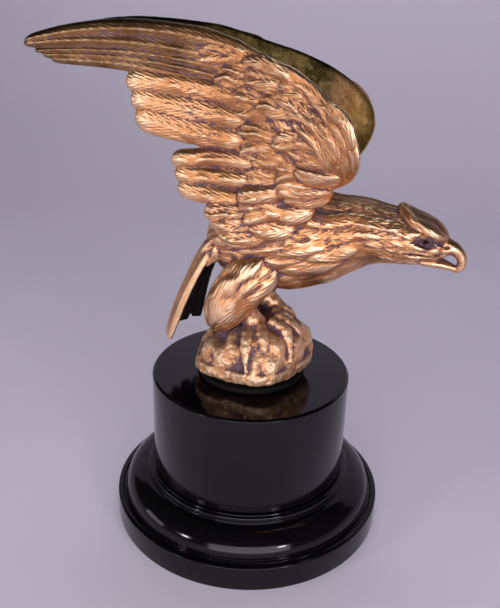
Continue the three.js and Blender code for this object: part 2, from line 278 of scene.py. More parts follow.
def rounded(rings, around, place, kind):
    """A closed rounded form in the casting. place() is given how far each vertex lies from end to end (0 to
    1), its turn round the form, and its girth (0 at the two poles, else 1), and says where it goes and how
    far along and across the form that is, in millimetres."""
    form = bmesh.new()
    bmesh.ops.create_uvsphere(form, u_segments=around, v_segments=rings, radius=1)
    ball = np.array([vert.co for vert in form.verts])
    v = np.arccos(np.clip(ball[:, 2], -1, 1)) / np.pi
    angle = np.arctan2(ball[:, 1], ball[:, 0])
    girth = np.where(np.hypot(ball[:, 0], ball[:, 1]) < POLE, 0.0, 1.0)
    spots, run, across = place(v, angle, girth)
    for vert, spot in zip(form.verts, spots.tolist()):
        vert.co = spot
    bmesh.ops.recalc_face_normals(form, faces=form.faces)
    part = bpy.data.meshes.new("form")
    form.to_mesh(part)
    form.free()
    casting.from_mesh(part)
    bpy.data.meshes.remove(part)
    kind = kind(v, angle) if callable(kind) else kind
    laid.append(np.stack([run + 0 * v, across + 0 * v, kind + 0 * v], axis=1))


def crag(v, angle, girth):
    rise = np.cos(np.pi * v)
    level = np.where(rise > 0, rise, rise * ROCK_UNDERSIDE)
    flute = FLUTE_DEPTH * np.sin(FLUTES * angle + 1) * np.sin(np.pi * v) * np.where(rise > -0.3, 1, 0.2)
    reach = girth * (ROCK_RADIUS + flute) * np.sin(np.pi * v) ** 0.8
    lean = np.maximum(ROCK_LEAN * level, 0)
    height = np.maximum(ROCK_LEVEL + ROCK_HEIGHT * level, WASHER_TOP)
    return lines(reach * np.cos(angle) + lean, reach * np.sin(angle), height), height, angle * 20


rounded(90, 150, crag, CRAG)

# Casting: legs and talons. Feathered thighs, short shanks, and toes that grip down over the rock. They were
# modelled with the bird and cast with it; each thigh is an egg-shaped lobe, with long strokes down it.
THIGH = [  # stations along the form: its centre, half width (across) and half height (square to the run)
    (7, 8, 117, 7, 6), (3, 10, 110.5, 8.2, 9.6), (-4, 12, 101.5, 7.4, 9), (-9, 12.6, 93, 6.4, 7.4),
    (-11.4, 12.6, 86.8, 2.8, 3.2),
]
SHANK = [(-7, 9, 98, 4, 4), (0, 8.5, 92, 4.4, 4), (5, 8, 87, 3.8, 3.2), (7, 8, 84, 1.5, 1.5)]
TOES = [
    [(1, 10, 88), (1.5, 17, 83.5), (3, 21.5, 72)], [(5, 10, 89), (8, 15.5, 84), (10, 19.5, 73)],
    [(8, 7, 90), (15, 9, 86.5), (18, 13, 76)], [(9, 2, 90), (17, 2.5, 86), (21.5, 4, 77)],
]
TOE_HALF_SIZES = [(2, 2), (2.3, 2.2), (1, 1)]
LEGS = [(-1, 0, 0), (1, 4.5, -2)]  # side, and how far its thigh and its toes stand forward
NEARBY = 0.02  # the share of a form's length on either side that its direction is read over
UPRIGHT = 0.3  # a form that leans less than this sine has its width square to the eagle's heading
STROKE_SPREAD = 0.8  # how wide a turn of one radian counts, as a share of the form's half width


def stations(rows, share):
    """A smooth curve through station rows, read at shares of its length."""
    rows = np.array(rows, float)
    f = np.clip(share, 0, 1) * (len(rows) - 1)
    i = np.minimum(f.astype(int), len(rows) - 2)
    t = (f - i)[..., None]
    a, b = rows[i], rows[i + 1]
    leave = (b - rows[np.maximum(i - 1, 0)]) / 2
    reach = (rows[np.minimum(i + 2, len(rows) - 1)] - a) / 2
    return ((2 * t**3 - 3 * t * t + 1) * a + (t**3 - 2 * t * t + t) * leave
            + (3 * t * t - 2 * t**3) * b + (t**3 - t * t) * reach)


def over(rows, share, turn, out):
    """Places on or over a form that runs through stations: the share of its length, the turn round it, and
    how far out, relative to its own size. The second result is that size, in millimetres."""
    mid = stations(rows, share)
    ahead, behind = np.minimum(share + NEARBY, 1), np.maximum(share - NEARBY, 0)
    run = stations(rows, ahead)[:, :3] - stations(rows, behind)[:, :3]
    run /= np.linalg.norm(run, axis=1)[:, None]
    across = lines(-run[:, 1], run[:, 0], 0 * share)
    lean = np.linalg.norm(across, axis=1)[:, None]
    across = np.where(lean < UPRIGHT, (0.0, 1.0, 0.0), across / np.maximum(lean, 1e-6))
    up = np.cross(run, across)
    return (mid[:, :3] + across * (out * mid[:, 3] * np.cos(turn))[:, None]
            + up * (out * mid[:, 4] * np.sin(turn))[:, None]), (mid[:, 3] + mid[:, 4]) / 2


def length_of(rows):
    return math.dist(rows[0][:3], rows[-1][:3])


def limb(rows, rings, around, kind, side=1):
    """A form along its stations, on the left side or mirrored to the right (side -1)."""
    widest = max(row[3] for row in rows)

    def place(v, angle, girth):
        spots, _ = over(rows, v, angle, girth)
        spots[:, 1] *= side
        return spots, v * length_of(rows), np.abs(angle) * STROKE_SPREAD * widest

    rounded(rings, around, place, kind)


for side, thigh_shift, toe_shift in LEGS:
    limb([(x + thigh_shift, *rest) for x, *rest in THIGH], 60, 60, LEAF, side)
    limb([(x + thigh_shift, *rest) for x, *rest in SHANK], 32, 32, TOE, side)
    for toe in TOES:
        toe = [(x + toe_shift, y, z, *half) for (x, y, z), half in zip(toe, TOE_HALF_SIZES)]
        limb(toe, 30, 20, TOE, side)

# Casting: body. A deep-chested trunk that runs on into the low, outstretched neck and the skull, under
# overlapping locks of plumage that lie back along it.
TRUNK = [
    (-18.5, 0, 117, 1, 1), (-15, 0, 117.5, 7, 8), (-7, 0, 119, 11.6, 13), (4, 0, 121.3, 13.8, 17),
    (14, 0, 122.6, 14.3, 18.6), (24, 0, 123.6, 13.4, 16.6), (32, -0.5, 125.5, 11.5, 14),
    (40, -1.5, 127.6, 9.8, 11.2), (48, -3, 127.8, 8.4, 9.1), (55, -4.2, 127.4, 7.7, 8.1),
    (61, -5, 126.6, 7.3, 7.6), (66.5, -5.6, 125, 5.4, 5.4), (70, -6, 124.4, 1, 1),
]
SKULL_SHARE = 0.8  # the share of the trunk where the plumage ends and the skull begins
# broad locks: where a lock ends (share of the trunk, and degrees down from the side), its length as a share
# of the trunk, and its half width
LOCKS = [(0.15, 12, 0.24, 6.5), (0.26, 48, 0.26, 6.5), (0.36, 10, 0.26, 5.4), (0.47, 44, 0.22, 4.6),
         (0.5, -12, 0.26, 3.4), (0.62, 14, 0.24, 2.8)]
# rings of smaller locks: where they end, how many lie between the back and the breast, and their half width
LOCK_RINGS = [(0.1, 4, 5.4), (0.19, 5, 5.0), (0.28, 5, 4.6), (0.36, 5, 4.0), (0.43, 6, 3.3), (0.5, 5, 2.9),
              (0.56, 5, 2.6), (0.62, 4, 2.3), (0.67, 4, 1.9)]
RING_START, RING_SWEEP = -58, 138  # degrees down from the side
BACK_EDGE, BACK_PROUD = -34, 0.25  # above this the locks stand out less
chance = random.Random(12)


def lock(end, side, down, share, half, lift=0.3, thick=1.5, curl=0.0):
    """A lock of plumage that lies on the trunk and ends in a rounded point: where it ends, as a share of the
    trunk and in degrees down from the side, and its length, again as a share."""
    turn = math.radians(-down if side > 0 else 180 + down)

    def place(v, angle, girth):
        u = end + share * v
        swell = np.sin(np.pi * v) ** 0.5 * (1 - 0.45 * v)
        size = over(TRUNK, u, 0 * v, 0 * v)[1]
        across = girth * half * swell * np.cos(angle)
        proud = lift + thick * swell * np.sin(angle) * girth
        spots, _ = over(TRUNK, u, turn + curl * (1 - v) ** 2 + across / size, 1 + proud / size)
        return spots, u * length_of(TRUNK), across

    rounded(26, 20, place, PLUME)


limb(TRUNK, 110, 84, lambda v, angle: np.where(v < SKULL_SHARE, PLUME, SMOOTH))
for side in (-1, 1):
    for end, down, share, half in LOCKS:
        lock(end, side, down, share, half)
    for ring, (end, count, half) in enumerate(LOCK_RINGS):
        for i in range(count):
            down = RING_START + RING_SWEEP * (i + 0.5 * (ring % 2)) / (count - 0.5) + chance.uniform(-5, 5)
            proud = 1 if down > BACK_EDGE else BACK_PROUD
            lock(end + chance.uniform(-0.02, 0.02), side, down, 0.25 + chance.uniform(-0.03, 0.05), half,
                 proud * chance.uniform(0.1, 0.7), proud * (0.8 + 0.34 * half), chance.uniform(-0.2, 0.24))

# Casting: head. A flat-crowned skull with an overhanging brow that sweeps back to a raised tuft, deep-set
# eyes, and a long hooked bill, its tip curled back to meet the thin lower jaw.
BEAK = [(64, -5.4, 125, 1.5, 1.5), (67, -5.7, 125.3, 4, 4), (71, -6, 125.3, 3, 2.8),
        (73.7, -6.1, 123.6, 2.2, 2.1), (75, -6.2, 120.9, 1.6, 1.7), (74.4, -6.2, 118, 1.3, 1.4),
        (72.2, -6.2, 117, 0.5, 0.6)]
MANDIBLE = [(56, -4.6, 120.4, 1.5, 1.3), (61, -5, 119.9, 4.2, 1.9), (68, -5.6, 119.2, 3, 1.8),
            (73.3, -6.1, 117.8, 1.2, 1.1)]
BROW_AND_TUFT = [(52.2, -4.2, 139.5, 0.9, 0.8), (53.6, -4.4, 137, 3.4, 2.6), (57, -4.8, 134, 6.8, 3.6),
                 (62, -5.2, 131.8, 8, 3.7), (66.4, -5.6, 129.6, 6.6, 3.1), (69, -5.8, 128, 2.6, 1.6)]
JAW = [(55, -4.6, 125.4, 2, 0.8), (60, -5, 125.3, 4.9, 1), (66, -5.5, 124.7, 4.1, 1),
       (70, -5.9, 124.2, 2.5, 0.9), (73, -6.1, 123.5, 1.2, 0.6)]
CHEEK = [(54, -4.4, 125, 6.6, 2.2), (60, -5, 124.4, 7, 2.2), (65, -5.4, 124.2, 5.4, 1.9),
         (69.5, -5.8, 124.2, 2.6, 1.2)]
limb(BEAK, 60, 36, SMOOTH)
limb(MANDIBLE, 36, 24, SMOOTH)
limb(BROW_AND_TUFT, 40, 36, COVERT)
limb(JAW, 30, 24, SMOOTH)
limb(CHEEK, 30, 24, SMOOTH)

# Casting: tail. A channel of broad feathers that hangs down behind the legs, hollow towards them.
# Short tufts of plumage cover the place where it leaves the body, on top and on both sides.
TAIL_TOP, TAIL_END = (-18, 117.5), (-32, 79)
TAIL_HALF_WIDTH = (8.5, 11.5)
TAIL_DEPTH, TAIL_BOW, TAIL_TURN, TAIL_TWIST = 5.2, 1.8, 1.25, 0.22
TAIL_FEATHERS, TAIL_SPREAD = 5, 0.86
TAIL_SLOPE = (0.94, 0.34)  # the way that the tail's outer face looks: back, and down
TOP_TUFTS = (-8.6, -6.2, -3.8, -1.3, 1.3, 3.8, 6.2, 8.6)  # how far each one lies to the left
SIDE_COVER = [(-3, 7, 125, 1.4, 2.2), (-10, 8.6, 122, 1.6, 2.4), (-18.5, 9, 115, 0.6, 0.7)]
# how far back each side tuft hangs, and how much higher its tip ends
SIDE_TUFTS = [(-3.6, 0.4), (-2, 1.2), (-0.5, 0), (1, 1.5), (2.5, 0.5), (4, 1.8), (5.4, 0.9), (6.8, 2.2)]


def tail_sheet(u, across, out):
    """Places on the tail's curved sheet: the share of its length, from edge to edge (-1 to 1), and how far
    out of its outer face."""
    half = TAIL_HALF_WIDTH[0] + (TAIL_HALF_WIDTH[1] - TAIL_HALF_WIDTH[0]) * u
    turn = TAIL_TURN * across
    forward = TAIL_DEPTH * (1 - np.cos(turn)) / (1 - math.cos(TAIL_TURN))
    x = (TAIL_TOP[0] + (TAIL_END[0] - TAIL_TOP[0]) * u - 4 * u * (1 - u) * TAIL_BOW + forward
         + TAIL_TWIST * half * np.sin(turn) * u - out * np.cos(turn) * TAIL_SLOPE[0])
    y = half * np.sin(turn) / math.sin(TAIL_TURN) + out * np.sin(turn)
    z = TAIL_TOP[1] + (TAIL_END[1] - TAIL_TOP[1]) * u - out * np.cos(turn) * TAIL_SLOPE[1]
    return lines(x, y, z)


def tail_plate(v, angle, girth):
    across = girth * np.cos(angle) * np.maximum(np.sin(np.pi * v), 0) ** 0.15
    return tail_sheet(v * 0.95, across, girth * np.sin(angle)), v * 40, across * 10


def tail_feather(middle):
    def place(v, angle, girth):
        u = 1 - ((1 + np.cos(np.pi * v)) / 2) ** 1.3
        swell = np.maximum(np.sin(np.pi * v), 0) ** 0.35
        across = girth * swell * np.cos(angle)
        return (tail_sheet(u, middle + 0.24 * across, 0.6 + girth * 1.2 * swell * np.sin(angle)),
                u * 41, across * 3)

    rounded(44, 20, place, lambda v, angle: np.where(np.sin(angle) < 0.1, HOLLOW, FLIGHT))


rounded(50, 60, tail_plate, lambda v, angle: np.where(np.sin(angle) < 0.3, HOLLOW, COVERT))
for i in range(TAIL_FEATHERS):
    tail_feather(-TAIL_SPREAD + 2 * TAIL_SPREAD * i / (TAIL_FEATHERS - 1))
for y in TOP_TUFTS:
    droop = 0.12 * abs(y)
    limb([(-5, y, 121 - droop, 1.6, 2), (-11.5, y * 1.02, 116.6 - droop, 1.9, 2.1),
          (-16.4, y * 1.06, 111 - droop, 0.6, 0.5)], 24, 18, PLUME)
for side in (-1, 1):
    limb(SIDE_COVER, 24, 16, PLUME, side)
    for back, short in SIDE_TUFTS:
        limb([(-4 - back, 8, 123 - 0.3 * back, 0.75, 1.2), (-5.6 - back, 10, 118.6 - 0.3 * back, 0.85, 1.3),
              (-7.4 - back, 9.6, 112.4 + short - 0.3 * back, 0.35, 0.4)], 20, 14, PLUME, side)

# Casting: wings. Two raised wings, each a curved plate, smooth inside, that carries overlapping feathers
# outside: long flight feathers swept back to the tip, two broad groups below, and coverts towards the front.
WING_FRONT, WING_TIP = 38.8, -83.4
WING_THICKNESS, WING_ROOT_FILL, FEATHER_ROOT_DEPTH = 3.2, 5.5, 0.4
ROOT_HALF_GAP, ROOT_NARROWING = 14, 5  # half the gap at the wings' roots, and how much narrower it ends up
FRONT_CENTRE = (-5, 145)  # the wing's front edge swings round this point of the side view
HALF_GAPS = [(-75, 6.5), (-40, 7), (-15, 8.5), (0, 13.5), (10, 18.5), (20, 22.5), (30, 28.2), (42, 35.5)]
WING_UPPER = [(38.8, 159.5), (38, 163.5), (36, 167.5), (31, 173.2), (23.5, 179), (13.5, 184), (0.4, 188.6),
              (-18.8, 194), (-43, 195.5), (-69, 192.3), (-83, 186.3)]
WING_LOWER = [(38.8, 157.5), (38, 154), (35.5, 149.6), (30, 145.5), (26, 143), (20, 131), (6, 124),
              (-5, 124.5), (-9.5, 130), (-13, 138), (-13.5, 154.5), (-30, 164), (-38, 177), (-46, 179.6),
              (-70, 181.6), (-83, 185.7)]
ROOT_LINE_HEIGHT, ROOT_LINE_SLOPE = 134, 0.3  # where the wings leave the body, in the side view
# a row of feathers: how many, root and tip curves as (x, z), half width, bow of the quill, lift and dome of
# the outer face, how long its round end is in half widths (under 1: drawn to a point), and how it is chased
FEATHER_ROWS = [
    (2, [(0, 186.5), (-3, 182.5)], [(-82.5, 186.8), (-83, 185.6)],
     (3.1, 3.2), (-5.6, -3.8), 1, 1.5, 0.9, FLIGHT),
    (3, [(-4, 180), (-6, 174)], [(-79, 183.4), (-73, 180.9)],
     (1.9, 2.7), (-2.8, -2.6), 0.8, 1.3, 0.9, FLIGHT),
    (3, [(0, 171.5), (0, 158.5)], [(-45.6, 175.4), (-42.6, 163.6)],
     (4.4, 5.2), (-1, 1.2), 0.9, 2, 1.1, VANE),
    (3, [(4, 151.5), (4, 139)], [(-29, 149.2), (-26.5, 139.8)],
     (3.6, 3.8), (-1, 1), 1, 2, 1.2, VANE),
    (3, [(9, 137), (12, 127.5)], [(-16, 132.2), (-10.2, 125.2)],
     (4.1, 4.1), (0.5, 1.5), 1.4, 2.1, 1.5, COVERT),
    (5, [(2, 184.5), (12, 170), (16, 146)], [(-19.8, 184.6), (-6.2, 168), (-2.3, 145)],
     (4.2, 5), (-1, -0.6), 1.4, 1.2, 1.8, COVERT),
    (4, [(17, 177), (24, 166), (27, 149.5)], [(-2, 179), (5, 165), (11, 148)],
     (4.2, 4.6), (-1, -0.8), 2, 1.2, 2.4, COVERT),
    (3, [(35.4, 157.8), (28.5, 149.8)], [(-1, 184), (16, 168)],
     (3.2, 3.6), (-6.6, -4), 1.7, 1.5, 2.6, COVERT),
    (2, [(25, 146), (18, 135.5)], [(8, 141.5), (-3, 137)],
     (4, 4.4), (0.6, 0.6), 2.2, 2.2, 2, COVERT),
    # smaller coverts between the rows, and the egg-shaped lobes of the shoulder
    (4, [(9, 179), (18, 152)], [(-10.5, 181.5), (-1.5, 154)],
     (3.4, 3.8), (-0.8, -0.5), 1.5, 1.2, 2.6, COVERT),
    (4, [(26.6, 172), (31.8, 153.4)], [(11, 177.6), (18, 154)],
     (3.2, 3.4), (-1.2, -0.6), 2, 1.2, 2.8, COVERT),
    (4, [(36.6, 160.4), (25, 143)], [(21, 175.6), (12, 153)],
     (2.8, 3.2), (-3.5, -2), 1.6, 1.4, 3, COVERT),
    (3, [(33, 151), (20, 137)], [(16, 151), (4, 138)],
     (3.6, 3.8), (0.4, 0.6), 2.6, 2.3, 2.2, COVERT),
    (2, [(15.5, 143.5), (16, 136.5)], [(-5, 139.5), (0, 132)],
     (3.8, 3.6), (0.6, 0.4), 2.8, 2.4, 2.2, COVERT),
    (3, [(30, 144), (18, 130)], [(14, 141), (1, 129)],
     (3.7, 4.3), (0.6, 0.6), 2.2, 2.4, 2, COVERT),
]
LOWER_GROUP, FAR_SHORTENING = 3, 4  # the row of the lower broad group, a little shorter on the far wing
LOOSE_LIFT, STRAY = 1.5, 1.8  # feathers lifted more than this lie less even: how far their tips stray


def table(rows, x):
    """A smooth reading, without overshoot, of a table of (x, value) rows."""
    xs, ys = np.array(sorted(rows)).T
    slope = np.diff(ys) / np.diff(xs)
    same = slope[:-1] * slope[1:] > 0
    bend = np.where(same, 2 * slope[:-1] * slope[1:] / np.where(same, slope[:-1] + slope[1:], 1), 0)
    bend = np.concatenate([slope[:1], bend, slope[-1:]])
    x = np.clip(x, xs[0], xs[-1])
    i = np.clip(np.searchsorted(xs, x) - 1, 0, len(xs) - 2)
    wide = xs[i + 1] - xs[i]
    t = (x - xs[i]) / wide
    return ((2 * t**3 - 3 * t * t + 1) * ys[i] + (t**3 - 2 * t * t + t) * wide * bend[i]
            + (3 * t * t - 2 * t**3) * ys[i + 1] + (t**3 - t * t) * wide * bend[i + 1])


def above_root(x, z):
    """How far a point of the side view lies above the line where the wings leave the body."""
    return np.maximum(z - (ROOT_LINE_HEIGHT + ROOT_LINE_SLOPE * x), 0)


def half_gap(x, z):
    """Half the gap between the two wing plates at a point of the side view."""
    at_root = ROOT_HALF_GAP - ROOT_NARROWING * np.clip((-5 - x) / 45, 0, 1)
    return at_root + (table(HALF_GAPS, x) - at_root) * (1 - np.exp(-above_root(x, z) / (16 - 0.25 * x)))


def wing_plate(side):
    def place(v, angle, girth):
        x = WING_FRONT + (WING_TIP - WING_FRONT) * v**1.6
        top, bottom = table(WING_UPPER, x), table(WING_LOWER, x)
        z = (top + bottom) / 2 + girth * (top - bottom) * np.cos(angle) / 2
        face = np.sign(np.sin(angle)) * np.abs(np.sin(angle)) ** 0.5
        thick = WING_THICKNESS * (0.4 + 0.6 * np.maximum(np.sin(np.pi * np.sqrt(v)), 0) ** 0.7)
        near_root = np.exp(-above_root(x, z) / 8) * np.clip((x + 16) / 10, 0, 1)
        fill = np.where(face < 0, WING_ROOT_FILL * near_root, 0)
        y = side * (half_gap(x, z) + girth * face * (thick / 2 + fill))
        front = x > FRONT_CENTRE[0]
        swing = np.where(front, np.hypot(x - FRONT_CENTRE[0], z - FRONT_CENTRE[1]), z - FRONT_CENTRE[1])
        return lines(x, y, z), np.where(front, 1.5 * z, -x), swing

    rounded(150, 90, place, lambda v, angle: np.where(np.sin(angle) > 0.2, COVERT, SMOOTH))


def round_end(reach):
    """The width of a form near its round end, for a distance from it as a share of the rounding."""
    return np.sqrt(np.maximum(1 - (1 - np.minimum(reach, 1)) ** 2, 0))


def feather(root, tip, half, bow, lift, dome, blunt, kind, side):
    dx, dz = tip[0] - root[0], tip[1] - root[1]
    length = math.hypot(dx, dz)

    def place(v, angle, girth):
        u = (1 - np.cos(np.pi * v)) / 2
        swell = round_end(u * length / (1.6 * half)) * round_end((1 - u) * length / (blunt * half))
        taper = 0.35 + 0.65 * np.sqrt(np.maximum(1 - u**2.5, 0)) if blunt < 1 else 0.82 + 0.18 * u
        across = girth * half * swell * taper * np.cos(angle)
        bowed = across + 4 * u * (1 - u) * bow
        x = root[0] + dx * u - dz / length * bowed
        z = root[1] + dz * u + dx / length * bowed
        rise = lift * (0.1 + 0.9 * u**0.7)
        depth = np.where(np.sin(angle) > 0, dome, rise + FEATHER_ROOT_DEPTH)
        y = side * (half_gap(x, z) + rise + girth * depth * swell * np.sin(angle))
        return lines(x, y, z), u * length, across

    rounded(64 if length > 36 else 40, 24, place, kind)


for side in (-1, 1):
    wing_plate(side)
    for row, (count, roots, tips, halves, bows, lift, dome, blunt, kind) in enumerate(FEATHER_ROWS):
        for i in range(count):
            t = i / (count - 1)
            root, tip = stations(roots, np.array(t)), stations(tips, np.array(t))
            loose = STRAY if lift > LOOSE_LIFT else 0
            tip = tip + (chance.uniform(-loose, loose), chance.uniform(-0.6, 0.6) * loose)
            if side > 0 and row == LOWER_GROUP:
                tip = tip + (FAR_SHORTENING, 0)
            bow = bows[0] + (bows[1] - bows[0]) * t + chance.uniform(-0.7, 0.7) * loose
            feather(root, tip, halves[0] + (halves[1] - halves[0]) * t, bow, lift, dome, blunt, kind, side)

# Casting: fusing and chasing. The forms become one skin, as the wax did before casting. The chaser's work is
# then cut into it: quills, vanes, plumage grooves, the face, and the hollows and hammer marks of the rock.
SKIN_VOXEL = 0.34
SKIN_TRIANGLES = 192000
CHASING = {  # depths in mm: quill, knuckles, broad strokes, narrow strokes, small dents, slow waves
    FLIGHT: (0.24, 0, 0.14, 0.08, 0, 0),
    VANE: (0.06, 0, 0.2, 0.26, 0, 0),
    COVERT: (0, 0, 0.55, 0.45, 0, 0.12),
    HOLLOW: (0, 0, 0.55, 0.45, 0, 0.12),
    PLUME: (0, 0, 0.85, 0.5, 0, 0.2),
    LEAF: (0, 0, 1.0, 0.55, 0, 0),
    SMOOTH: (0, 0, 0, 0, 0.06, 0.1),
    TOE: (0, 0.12, 0, 0, 0.3, 0.3),
    CRAG: (0, 0, 0, 0, 0, 0),
}
QUILL_HALF_WIDTH, KNUCKLES_PER_MM, STROKE_WANDER = 0.55, 2.2, 2.2
HAMMERED_BELOW = 73.5  # the height on the rock
EYE_CUT, SOCKET_CUT, NOSTRIL_CUT, MOUTH_CUT = 0.8, -1.8, -0.8, -1.6
HEAD_MIDDLE = -5.2  # the head turns a little to the eagle's right


def modified(mesh, kind, **settings):
    """The mesh with one modifier applied."""
    holder = set_up("wax", mesh)
    tool = holder.modifiers.new(kind.lower(), kind)
    for name, value in settings.items():
        setattr(tool, name, value)
    made = bpy.data.meshes.new_from_object(holder.evaluated_get(bpy.context.evaluated_depsgraph_get()))
    bpy.data.objects.remove(holder)
    return made


def column(mesh, what):
    """The places or normals of a mesh's vertices, one row each."""
    values = np.empty(len(mesh.vertices) * 3)
    mesh.vertices.foreach_get(what, values)
    return values.reshape(-1, 3)


def moved(mesh, spots):
    mesh.vertices.foreach_set("co", spots.ravel())
    mesh.update()


class Forms:
    """The forms as they were laid on, to ask what lies at a point of the skin."""

    def __init__(self, shape, laid):
        bmesh.ops.triangulate(shape, faces=shape.faces)
        self.spots = np.array([vert.co for vert in shape.verts])
        self.laid = np.concatenate(laid)
        self.faces = np.array([[vert.index for vert in face.verts] for face in shape.faces])
        self.tree = BVHTree.FromBMesh(shape)

    def at(self, spots):
        """For each place, millimetres along and across the nearest form, and that form's kind."""
        found = [self.tree.find_nearest(spot) for spot in spots]
        corners = self.faces[[hit[2] for hit in found]]
        near = np.array([hit[0] for hit in found])
        a, b, c = (self.spots[corners[:, i]] for i in range(3))
        whole = np.linalg.norm(np.cross(b - a, c - a), axis=1) + 1e-12
        share = np.stack([np.linalg.norm(np.cross(b - near, c - near), axis=1),
                          np.linalg.norm(np.cross(c - near, a - near), axis=1),
                          np.linalg.norm(np.cross(a - near, b - near), axis=1)], axis=1) / whole[:, None]
        where = (self.laid[corners] * share[:, :, None]).sum(1)
        return where[:, :2], self.laid[corners[:, 0], 2].astype(int)


def speckle(spots, size, seed=0.0, stretch=(1, 1, 1)):
    """Smooth noise over places in millimetres, its marks about as wide as the size."""
    return np.array([noise.noise(Vector(spot)) for spot in spots * np.array(stretch) / size + seed])


def strokes(where, long, wide, seed):
    """Irregular strokes that run along a form: noise drawn out along it."""
    return speckle(np.stack([where[:, 0] / long, where[:, 1] / wide, 0 * where[:, 0]], axis=1), 1, seed)


def face_marks(spots):
    """How much of a place on the head is the eye, its socket, a nostril, or the line of the mouth."""
    marks = np.zeros((4, len(spots)))
    for side in (-1, 1):
        x, y, z = spots[:, 0], (spots[:, 1] - HEAD_MIDDLE) * side, spots[:, 2]
        facing = np.clip((y - 1.5) / 1.5, 0, 1) * (x > 50) * (z < 134)
        eye = np.exp(-(((x - 63.4) / 1.5) ** 2 + ((z - 128) / 1.1) ** 2) ** 2)
        socket = np.exp(-(((x - 62.2) / 4.9) ** 2 + ((z - 128.4 + 0.24 * (x - 62.2)) / 1.9) ** 2) ** 2)
        nostril = np.exp(-(((x - 69.4) / 0.9) ** 2 + ((z - 126.2) / 0.6) ** 2))
        mouth = np.exp(-(((z - 123.4 + 0.05 * (x - 60)) / 0.6) ** 2)) * np.clip((x - 54) / 3, 0, 1) * (x < 72)
        marks += facing * np.stack([eye, socket, nostril, mouth])
    return marks


def chased(spots, where, kind):
    """How far the chaser's work stands out of the skin or is cut into it, in millimetres."""
    waves = speckle(spots, 6)
    dents = speckle(spots, 2.3, 7)
    bent = where + np.stack([0 * waves, STROKE_WANDER * waves], axis=1)
    quill = np.exp(-((where[:, 1] / QUILL_HALF_WIDTH) ** 2))
    knuckles = np.cos(where[:, 0] * KNUCKLES_PER_MM)
    marks = (quill, knuckles, strokes(bent, 26, 3.2, 3), strokes(bent, 18, 1.7, 11), dents, waves)
    depths = np.array([CHASING[number] for number in sorted(CHASING)])[kind]
    cut = sum(depths[:, i] * mark for i, mark in enumerate(marks))
    hollows = -np.abs(speckle(spots, 9, 3, (1, 1, 0.45)))
    cut += (kind == CRAG) * np.where(spots[:, 2] < HAMMERED_BELOW, 0.45 * dents,
                                     2.4 * hollows + 1.3 * waves + 0.25 * dents)
    eye, socket, nostril, mouth = face_marks(spots)
    return cut + EYE_CUT * eye + SOCKET_CUT * socket + NOSTRIL_CUT * nostril + MOUTH_CUT * mouth


def neighbours(mesh):
    ends = np.empty(len(mesh.edges) * 2, int)
    mesh.edges.foreach_get("vertices", ends)
    return ends.reshape(-1, 2)


def spread_out(values, edges, times):
    """Values evened out over the skin, each with its neighbours."""
    count = np.bincount(edges.ravel(), minlength=len(values))[:, None] + 1.0
    for _ in range(times):
        total = values.copy()
        for axis in range(values.shape[1]):
            total[:, axis] += np.bincount(edges[:, 0], values[edges[:, 1], axis], len(values))
            total[:, axis] += np.bincount(edges[:, 1], values[edges[:, 0], axis], len(values))
        values = total / count
    return values


wax = bpy.data.meshes.new("wax")
casting.to_mesh(wax)
forms = Forms(casting, laid)
casting.free()
skin = modified(wax, "REMESH", mode="VOXEL", voxel_size=SKIN_VOXEL)
edges = neighbours(skin)
spots = spread_out(column(skin, "co"), edges, 2)
where, kind = forms.at(spots)
cut = spread_out(chased(spots, where, kind)[:, None], edges, 2)
moved(skin, spots)
spots = spots + column(skin, "normal") * cut
spots[:, 2] = np.maximum(spots[:, 2], WASHER_TOP)
moved(skin, spots)
share = min(1, SKIN_TRIANGLES / (2 * len(skin.polygons)))
skin = modified(skin, "DECIMATE", ratio=share, use_collapse_triangulate=True)

# Casting: patina, wear and painted light. Red-gold bronze, rubbed bright where it stands proud, which also
# paints highlights there, and dark purple brown in the grooves, where the patina and old polish have stayed;
# hollows and closed-in places get painted shade, near black in the deepest.
# Faces that look up, the wings' insides and the long flight feathers are painted olive as shade and dark
# reflection, with lighter gold painted at the wings' inner front ends.
# Painted shade: rays from each place of the skin find how closed in it is, and the hollows are darkened by
# it.
SHADE_RAYS, SHADE_REACH, SHADE_LEAN = 9, 13.0, 1.15  # shelter is felt for this far out, in mm
BARBS = {COVERT: 0.8, PLUME: 0.8, LEAF: 0.8, VANE: 0.55, FLIGHT: 0.35}  # how strong the finest strokes are
# The worn bright copper is also the colour of the painted highlights on raised forms.
COPPER, BRIGHT_COPPER, WORN_BRIGHT_AND_HIGHLIGHT = (0.52, 0.22, 0.08), (0.92, 0.47, 0.215), (1.0, 0.72, 0.46)
# Gold painted as the lit front ends of the wings' shaded insides.
OLD_GOLD, BRIGHT_GOLD = (0.5, 0.29, 0.08), (1.0, 0.66, 0.25)
# Olive painted shade and dark reflection, for faces that look up, the wings' insides and the long flight
# feathers.
SHADE_OLIVE, PALE_SHADE_OLIVE = (0.018, 0.013, 0.004), (0.085, 0.062, 0.019)
PURPLE, PALE_PURPLE = (0.075, 0.04, 0.058), (0.25, 0.14, 0.165)
# Near black painted shade for the most closed-in places.
PAINTED_SHADE_BLACK = (0.012, 0.009, 0.012)

edges = neighbours(skin)
spots = column(skin, "co")
outward = column(skin, "normal")
where, kind = forms.at(spots)
fine = ((spots - spread_out(spots, edges, 5)) * outward).sum(1)
broad = ((spots - spread_out(spots, edges, 40)) * outward).sum(1)
tree = BVHTree.FromPolygons(spots.tolist(), [tuple(face.vertices) for face in skin.polygons])
